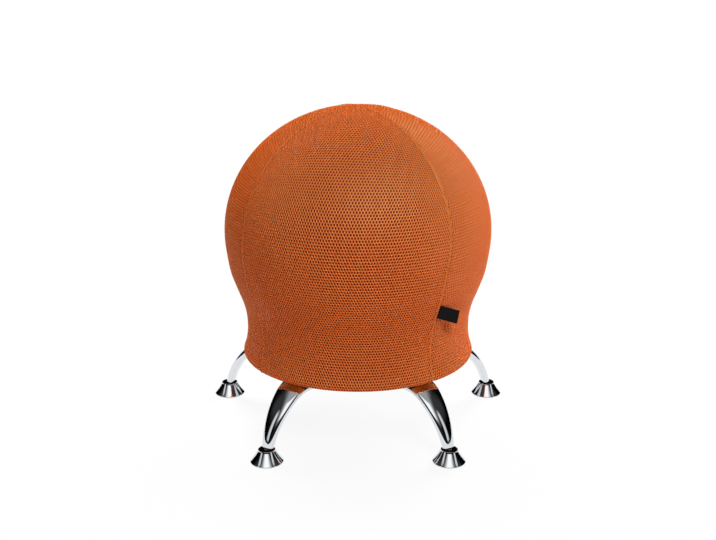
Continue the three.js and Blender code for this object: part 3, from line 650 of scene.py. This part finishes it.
tab = {"length": 40 * mm, "width": 24 * mm, "gap": 0.5 * mm, "tape": 0.5 * mm, "height": 261 * mm, "droop": 20,
       "skew": 8, "standOff": 16, "lean": 15, "hang": 5, "bow": 0.6 * mm}


def tabMesh():
    half = (tab["gap"] + tab["tape"]) / 2
    straight = tab["length"] - half
    path = [(share * straight, half) for share in np.linspace(0, 1, 15)]  # the loop: reach and height off its middle
    path += [(straight + half * math.sin(a), half * math.cos(a)) for a in np.linspace(0.3, math.pi - 0.3, 7)]
    path += [(share * straight, -half) for share in np.linspace(1, 0, 15)]
    spread = np.concatenate([[0], np.cumsum(np.linalg.norm(np.diff(np.array(path), axis=0), axis=1))])
    droop, skew, standOff = (math.radians(tab[k]) for k in ("droop", "skew", "standOff"))
    distance = float(np.interp(-tab["height"], -outline[:, 1], along))
    root = onCover(distance, math.radians(cover["seams"][0]), 0.0)
    bearing = math.atan2(root[0], axisY - root[1])
    radius = math.hypot(root[0], axisY - root[1])
    widths = np.linspace(-0.5, 0.5, 11)
    points, flat = [], []
    for (reach, off), length in zip(path, spread):
        for share in widths:
            x, y, z = off, reach, share * tab["width"]
            x += tab["bow"] * (1 - 4 * share * share) * math.sin(math.pi * reach / tab["length"])
            y, z = y * math.cos(droop) + z * math.sin(skew), z * math.cos(skew) - y * math.sin(droop)
            y += tab["width"] / 2 * math.sin(skew)
            x, y = x * math.cos(standOff) + y * math.sin(standOff), y * math.cos(standOff) - x * math.sin(standOff)
            lean = math.radians(tab["lean"] + (tab["hang"] - tab["lean"]) * reach / tab["length"])
            x, z = x * math.cos(lean) + z * math.sin(lean), z * math.cos(lean) - x * math.sin(lean)
            x += radius + half + tab["tape"] / 2
            points.append((x * math.sin(bearing) + y * math.cos(bearing),
                           axisY - x * math.cos(bearing) + y * math.sin(bearing), tab["height"] + z))
            flat.append((length / mm, share * tab["width"] / mm))
    mesh = meshFrom("tab", points, gridFaces(len(path), len(widths), turnedOver=True))
    layFlat(mesh, "tapeLength", flat)
    return mesh, float(spread[-1])


tabShape, tabLoop = tabMesh()
tabPiece = newPiece("label_tab_tape", tabShape, tape, replaced=["label_tab"])
thicken = tabPiece.modifiers.new("tape", "SOLIDIFY")
thicken.thickness, thicken.offset = tab["tape"], 0
print("tab made")


# legs: bent, tapering oval tubes

leg = {"footCircle": 269 * mm, "pivot": 12 * mm, "toPivot": 13.5 * mm, "endSlope": 77, "shinRadius": 130.7 * mm,
       "kneeSlope": 34, "kneeRadius": 60 * mm, "innerEnd": 54 * mm, "width": 58 * mm, "thick": 21 * mm,
       "endWidth": 22 * mm, "endThick": 15 * mm, "wall": 1.5 * mm, "roundness": 2.3, "sides": 72,
       "edge": 0.4 * mm, "edgeCut": 0.12 * mm, "innerCut": 0.2 * mm, "screws": (82 * mm, 156.65 * mm)}


def legPath(straightSteps=6, kneeSteps=22, shinSteps=30):  # radius, height, slope in degrees and share of the taper
    endRadius = leg["footCircle"] - leg["toPivot"] * cosine(leg["endSlope"])
    endHeight = leg["pivot"] + leg["toPivot"] * sine(leg["endSlope"])
    bend, slope = leg["shinRadius"], leg["kneeSlope"]
    kneeEnd = (endRadius - bend * (sine(leg["endSlope"]) - sine(slope)),
               endHeight + bend * (cosine(slope) - cosine(leg["endSlope"])))
    kneeStart = kneeEnd[0] - leg["kneeRadius"] * sine(slope)
    top = kneeEnd[1] + leg["kneeRadius"] * (1 - cosine(slope))
    kneeLength, shinLength = leg["kneeRadius"] * slope, bend * (leg["endSlope"] - slope)
    path = [(r, top, 0, 0) for r in np.linspace(leg["innerEnd"], kneeStart, straightSteps, endpoint=False)]
    for a in np.linspace(0, slope, kneeSteps, endpoint=False):
        path.append((kneeStart + leg["kneeRadius"] * sine(a), top - leg["kneeRadius"] * (1 - cosine(a)), a,
                     leg["kneeRadius"] * a / (kneeLength + shinLength)))
    for share in np.linspace(0, 1, shinSteps + 1):
        a = slope + (leg["endSlope"] - slope) * share
        path.append((kneeEnd[0] + bend * (sine(a) - sine(slope)), kneeEnd[1] - bend * (cosine(slope) - cosine(a)), a,
                     (kneeLength + shinLength * share) / (kneeLength + shinLength)))
    return path


def legMesh(bearing):
    path = legPath()
    out, side, up = outward(bearing), outward(bearing + 90), Vector((0, 0, 1))
    middle = Vector((0, axisY, 0))
    power = 2 / leg["roundness"]

    def ring(station, inset, along=0.0):
        radius, height, slope, taper = station
        s, c = sine(slope), cosine(slope)
        radius, height = radius + along * c, height - along * s
        halfWide = (leg["width"] + (leg["endWidth"] - leg["width"]) * taper) / 2 - inset
        halfThick = (leg["thick"] + (leg["endThick"] - leg["thick"]) * taper) / 2 - inset
        points = []
        for i in range(leg["sides"]):
            a = 2 * math.pi * i / leg["sides"]
            x = math.copysign(abs(math.cos(a)) ** power, math.cos(a)) * halfWide
            y = math.copysign(abs(math.sin(a)) ** power, math.sin(a)) * halfThick
            points.append(middle + out * (radius + y * s) + side * x + up * (height + y * c))
        return points

    edge, cut, wall, innerCut = leg["edge"], leg["edgeCut"], leg["wall"], leg["innerCut"]
    rings = [ring(path[0], edge), ring(path[0], cut, cut), ring(path[0], 0, edge)]
    rings += [ring(p, 0) for p in path[1:-1]]
    rings += [ring(path[-1], 0, -edge), ring(path[-1], cut, -cut), ring(path[-1], edge)]
    rings += [ring(path[-1], wall - innerCut), ring(path[-1], wall, -innerCut)]
    rings += [ring(p, wall) for p in path[-2:0:-1]]
    rings += [ring(path[0], wall, innerCut), ring(path[0], wall - innerCut)]
    faces = gridFaces(len(rings), leg["sides"], closed=True, closedRows=True)
    return outwardMesh(meshFrom("leg", [p for points in rings for p in points], faces))


for name, bearing in bearings.items():
    newPiece(f"tube_{name}", legMesh(bearing), chrome, replaced=[f"leg_{name}"], smoothAngle=50)
print("legs made")


# bell feet and their glides

bell = {"radius": 29 * mm, "mouth": 15 * mm, "height": 24 * mm, "lip": 2 * mm, "wall": 1.2 * mm, "lift": 0.6 * mm,
        "glideDisc": 27.5 * mm, "boss": 9.5 * mm, "bossHeight": 16.6 * mm, "socket": 6.1 * mm, "socketLip": 2.6 * mm}


def bellProfile():  # spun cup: rolled foot, slightly hollow cone, eased mouth
    b = bell
    lipTop = b["lift"] + b["lip"]
    foot = [(b["radius"] - 0.25 * mm, b["lift"]), (b["radius"], b["lift"] + 0.3 * mm), (b["radius"], lipTop - 0.5 * mm),
            (b["radius"] - 0.3 * mm, lipTop)]
    low, high = np.array([b["radius"] - 0.8 * mm, lipTop + 0.5 * mm]), np.array([b["mouth"], b["height"] - 1.0 * mm])
    cone = [tuple(low + (high - low) * t + np.array([-0.5, -0.35]) * mm * math.sin(math.pi * t))
            for t in np.linspace(0, 1, 14)]
    lip = arcPoints((b["mouth"] - b["wall"] / 2, b["height"] - b["wall"] / 2), b["wall"] / 2, 20, 160, 7)
    inner = [(r - b["wall"], z - 0.3 * mm) for r, z in cone[::-1]]
    inner += [(b["radius"] - b["wall"], lipTop - 0.4 * mm), (b["radius"] - b["wall"], b["lift"])]
    return foot + cone + lip + inner


def glideProfile():  # a disc on the floor, and a boss with the socket for the stud's ball
    disc, boss, top = bell["glideDisc"], bell["boss"], bell["bossHeight"]
    lipRadius = math.sqrt(bell["socket"] ** 2 - bell["socketLip"] ** 2)
    lipAngle = math.degrees(math.atan2(bell["socketLip"], lipRadius))
    socket = arcPoints((0, leg["pivot"]), bell["socket"], lipAngle, -90, 12)
    return [(0, 0), (disc - 0.8 * mm, 0), (disc - 0.2 * mm, 0.25 * mm), (disc, 0.8 * mm), (disc, 2.4 * mm),
            (disc - 2 * mm, 4 * mm), (boss + 1 * mm, 4 * mm), (boss, 5 * mm), (boss, top - 0.5 * mm),
            (boss - 0.5 * mm, top), (lipRadius + 2 * mm, top), *socket[:-1], (0, socket[-1][1])]


for name, bearing in bearings.items():
    foot = outward(bearing) * leg["footCircle"] + Vector((0, axisY, 0))
    newPiece(f"bell_{name}", turned("bell", bellProfile(), 96, foot[:2], closed=True), chrome, f"foot_{name}",
             [f"foot_bell_{name}"], 35)
    newPiece(f"glide_{name}", turned("glide", glideProfile(), 72, foot[:2]), nylon, f"foot_{name}",
             [f"foot_glide_{name}"], 35)
print("feet made")


# leg screws: one button-head screw, put on its ten places by Geometry Nodes

screw = {"head": 7 * mm, "headHeight": 4 * mm, "shank": 3 * mm, "length": 33.6 * mm, "key": 2.3 * mm,
         "keyDepth": 2.4 * mm, "seat": 103.566 * mm}


def screwMesh():  # head downwards, its top face on z = 0
    s = screw
    profile = [(0, s["keyDepth"]), (s["key"] * 0.98, s["keyDepth"] - 0.2 * mm), (s["key"], 0), (s["head"] * 0.55, 0)]
    profile += [(s["head"] * (0.55 + 0.45 * math.sin(a)), s["headHeight"] * 0.75 * (1 - math.cos(a)))
                for a in np.linspace(0.2, 1.5, 8)]
    profile += [(s["head"], s["headHeight"]), (s["shank"], s["headHeight"]), (s["shank"], s["length"]),
                (0, s["length"] + 1 * mm)]
    mesh = turned("screw", profile, 48)
    for vertex in mesh.vertices:  # the key's hole has six flats
        if 1e-6 < math.hypot(vertex.co.x, vertex.co.y) <= s["key"] * 1.01 and vertex.co.z <= s["keyDepth"]:
            turn = math.atan2(vertex.co.y, vertex.co.x) % (math.pi / 3) - math.pi / 6
            scale = math.cos(math.pi / 6) / math.cos(turn) * 1.15
            vertex.co.x, vertex.co.y = vertex.co.x * scale, vertex.co.y * scale
    return mesh


def placingTree():  # puts a fastener on every point, each turned by chance
    inputs = {"Places": "Geometry", "Fastener": "Object", "Size": "Float", "Turn": "Float", "Seed": "Int",
              "Material": "Material"}
    add, given = newTree("fastenerRow", inputs, "Fasteners")
    model = add("GeometryNodeObjectInfo", {"Object": given["Fastener"]})
    angle = add("FunctionNodeRandomValue", {"Max": given["Turn"], "Seed": given["Seed"]}, data_type="FLOAT")
    turn = add("CombineXYZ", {"Z": angle.outputs[1]})
    placed = add("GeometryNodeInstanceOnPoints", {
        "Points": given["Places"], "Instance": model.outputs["Geometry"], "Rotation": turn, "Scale": given["Size"]})
    return closeTree(add, placed, given["Material"])


model = bpy.data.objects.new("screwModel", screwMesh())
model.data.shade_smooth()
bpy.context.scene.collection.objects.link(model)
spots = [outward(b) * r + Vector((0, axisY, screw["seat"] - screw["headHeight"]))
         for b in bearings.values() for r in leg["screws"]]
spotMesh = bpy.data.meshes.new("places")
spotMesh.from_pydata([tuple(p) for p in spots], [], [])
screws = throughNodes("screws", spotMesh, placingTree(),
                      {"Fastener": model, "Size": 1.0, "Turn": 2 * math.pi, "Seed": 3, "Material": zinc})
bpy.data.objects.remove(model)
newPiece("leg_screws", screws, zinc, replaced=[f"leg_screw_{w}_{n}" for n in legNames for w in ("inner", "outer")],
         smoothAngle=35)
print("screws made")


# floor, light and camera

studio = {"floor": "#F4F4F4", "floorShade": "#F1F1F1", "nearGlow": 0.88, "fadeStart": 0.2, "fadeEnd": 0.7, "room": 0.26,
          "aim": (0, 0, 0.36)}
mirrored = {  # what bright metal mirrors; each glow is a product of steps, with their start and end, and low and high
    "panel": [("sideways", 0.12, 0.57, 1.3, 0), ("Z", 0.46, 0.52, 0, 1), ("Z", 0.84, 0.9, 1, 0), ("Y", -0.1, 0, 1, 0)],
    "ceiling": [("Z", 0.32, 0.62, 0.015, 0.4), ("Y", 0.05, 0.4, 1, 0.1), ("sideways", 0.35, 0.6, 1, 0.1)],
    "strips": [("turnBack", -0.8, -0.7, 0, 0.8), ("turnBack", -0.45, -0.3, 1, 0), ("Z", 0.02, 0.1, 0, 1),
               ("Z", 0.6, 0.75, 1, 0)],
}
lamps = {
    "keyLamp": {"place": (0.71, -1.61, 1.87), "size": (0.75, 0.75), "power": 22.3},
    "glossLamp": {"place": (0.72, -1.63, 1.88), "size": (1.2, 1.0), "power": 250.0},
    "rightLamp": {"place": (1.2, 1.45, 0.8), "size": (1.0, 1.0), "power": 64.0},
    "leftLamp": {"place": (-0.84, 1.25, 1.85), "size": (1.0, 1.0), "power": 42.0},
}


def floorMaterial():  # matt white paper; the camera sees it fade to plain white away from the chair
    material, add, mixed = newMaterial("pale studio floor", "MixShader")
    place = add("TexCoord").outputs["Object"]
    grain = add("TexNoise", {"Vector": place, "Scale": 3.0, "Detail": 2.0})
    tones = {0: grain, 6: toLinear(studio["floor"]), 7: toLinear(studio["floorShade"])}
    matt = add("BsdfDiffuse", {"Color": add("Mix", tones, data_type="RGBA").outputs[2]})
    glow = add("Emission", {"Color": (1, 1, 1, 1), "Strength": 1.0})
    away = add("VectorMath", {0: place}, operation="LENGTH").outputs["Value"]
    fade = add("MapRange", {0: away, 1: studio["fadeStart"], 2: studio["fadeEnd"], 3: studio["nearGlow"], 4: 1.0},
               interpolation_type="SMOOTHSTEP")
    ray = add("LightPath").outputs
    seen = add("Math", {0: ray["Is Camera Ray"], 1: ray["Is Glossy Ray"]}, operation="MAXIMUM")
    setSockets(mixed, {0: add("Math", {0: seen, 1: fade}, operation="MULTIPLY"), 1: matt, 2: glow})
    return material


floorMesh = meshFrom("floor", [(-6, -6, 0), (6, -6, 0), (6, 6, 0), (-6, 6, 0)], [(0, 1, 2, 3)])
floor = bpy.data.objects.new("floor", floorMesh)
floorMesh.materials.append(floorMaterial())
bpy.context.scene.collection.objects.link(floor)

world = bpy.data.worlds.new("studio")
bpy.context.scene.world = world
world.use_nodes = True
world.node_tree.nodes.clear()
add = partial(addNode, world.node_tree)
direction = add("SeparateXYZ", {0: add("TexCoord").outputs["Generated"]}).outputs
sideways = add("Math", {0: direction["X"]}, operation="ABSOLUTE")
turnBack = add("Math", {0: direction["Y"], 1: sideways}, operation="DIVIDE")
measures = {"sideways": sideways, "turnBack": turnBack, "Y": direction["Y"], "Z": direction["Z"]}
brightest = None
for steps in mirrored.values():
    glow = None
    for measure, start, end, low, high in steps:
        step = add("MapRange", {0: measures[measure], 1: start, 2: end, 3: low, 4: high},
                   interpolation_type="SMOOTHSTEP")
        glow = add("Math", {0: glow, 1: step}, operation="MULTIPLY") if glow else step
    brightest = add("Math", {0: brightest, 1: glow}, operation="MAXIMUM") if brightest else glow
ray = add("LightPath").outputs
glossy, plain, white = (add("Background", {"Color": (1, 1, 1, 1), "Strength": strength})
                        for strength in (brightest, studio["room"], 1.0))
shiny = add("MixShader", {0: ray["Is Glossy Ray"], 1: plain, 2: glossy})
add("OutputWorld", {"Surface": add("MixShader", {0: ray["Is Camera Ray"], 1: shiny, 2: white})})

softPieces = bpy.data.collections.new("softPieces")
for piece in [ball, backingPiece, seamPiece, *(panel for panel, *sizes in panels.values())]:
    softPieces.objects.link(piece)
for name, values in lamps.items():
    forGloss = name == "glossLamp"  # gives the yarn's gloss alone; the others aren't mirrored
    lamp = bpy.data.lights.new(name, "AREA")
    lamp.shape, lamp.energy = "RECTANGLE", values["power"]
    lamp.size, lamp.size_y = values["size"]
    holder = bpy.data.objects.new(name, lamp)
    holder.location = values["place"]
    toChair = Vector(studio["aim"]) - Vector(values["place"])
    holder.rotation_euler = toChair.to_track_quat("-Z", "Y").to_euler()
    holder.visible_diffuse, holder.visible_glossy = not forGloss, forGloss
    if forGloss:
        holder.light_linking.receiver_collection = softPieces
    bpy.context.scene.collection.objects.link(holder)

view = {"place": (0, -1.9646, 0.87107), "pitch": 16.914, "lens": 54.97}  # fitted to the feet in the photograph
lens = bpy.data.cameras.new("camera")
lens.sensor_width, lens.sensor_fit, lens.lens, lens.clip_start, lens.clip_end = 36, "HORIZONTAL", view["lens"], 0.01, 100
camera = bpy.data.objects.new("camera", lens)
camera.location = view["place"]
camera.rotation_euler = (math.radians(90 - view["pitch"]), 0, 0)
bpy.context.scene.collection.objects.link(camera)
bpy.context.scene.camera = camera
bpy.context.scene.view_settings.view_transform = "Standard"
print("studio made")
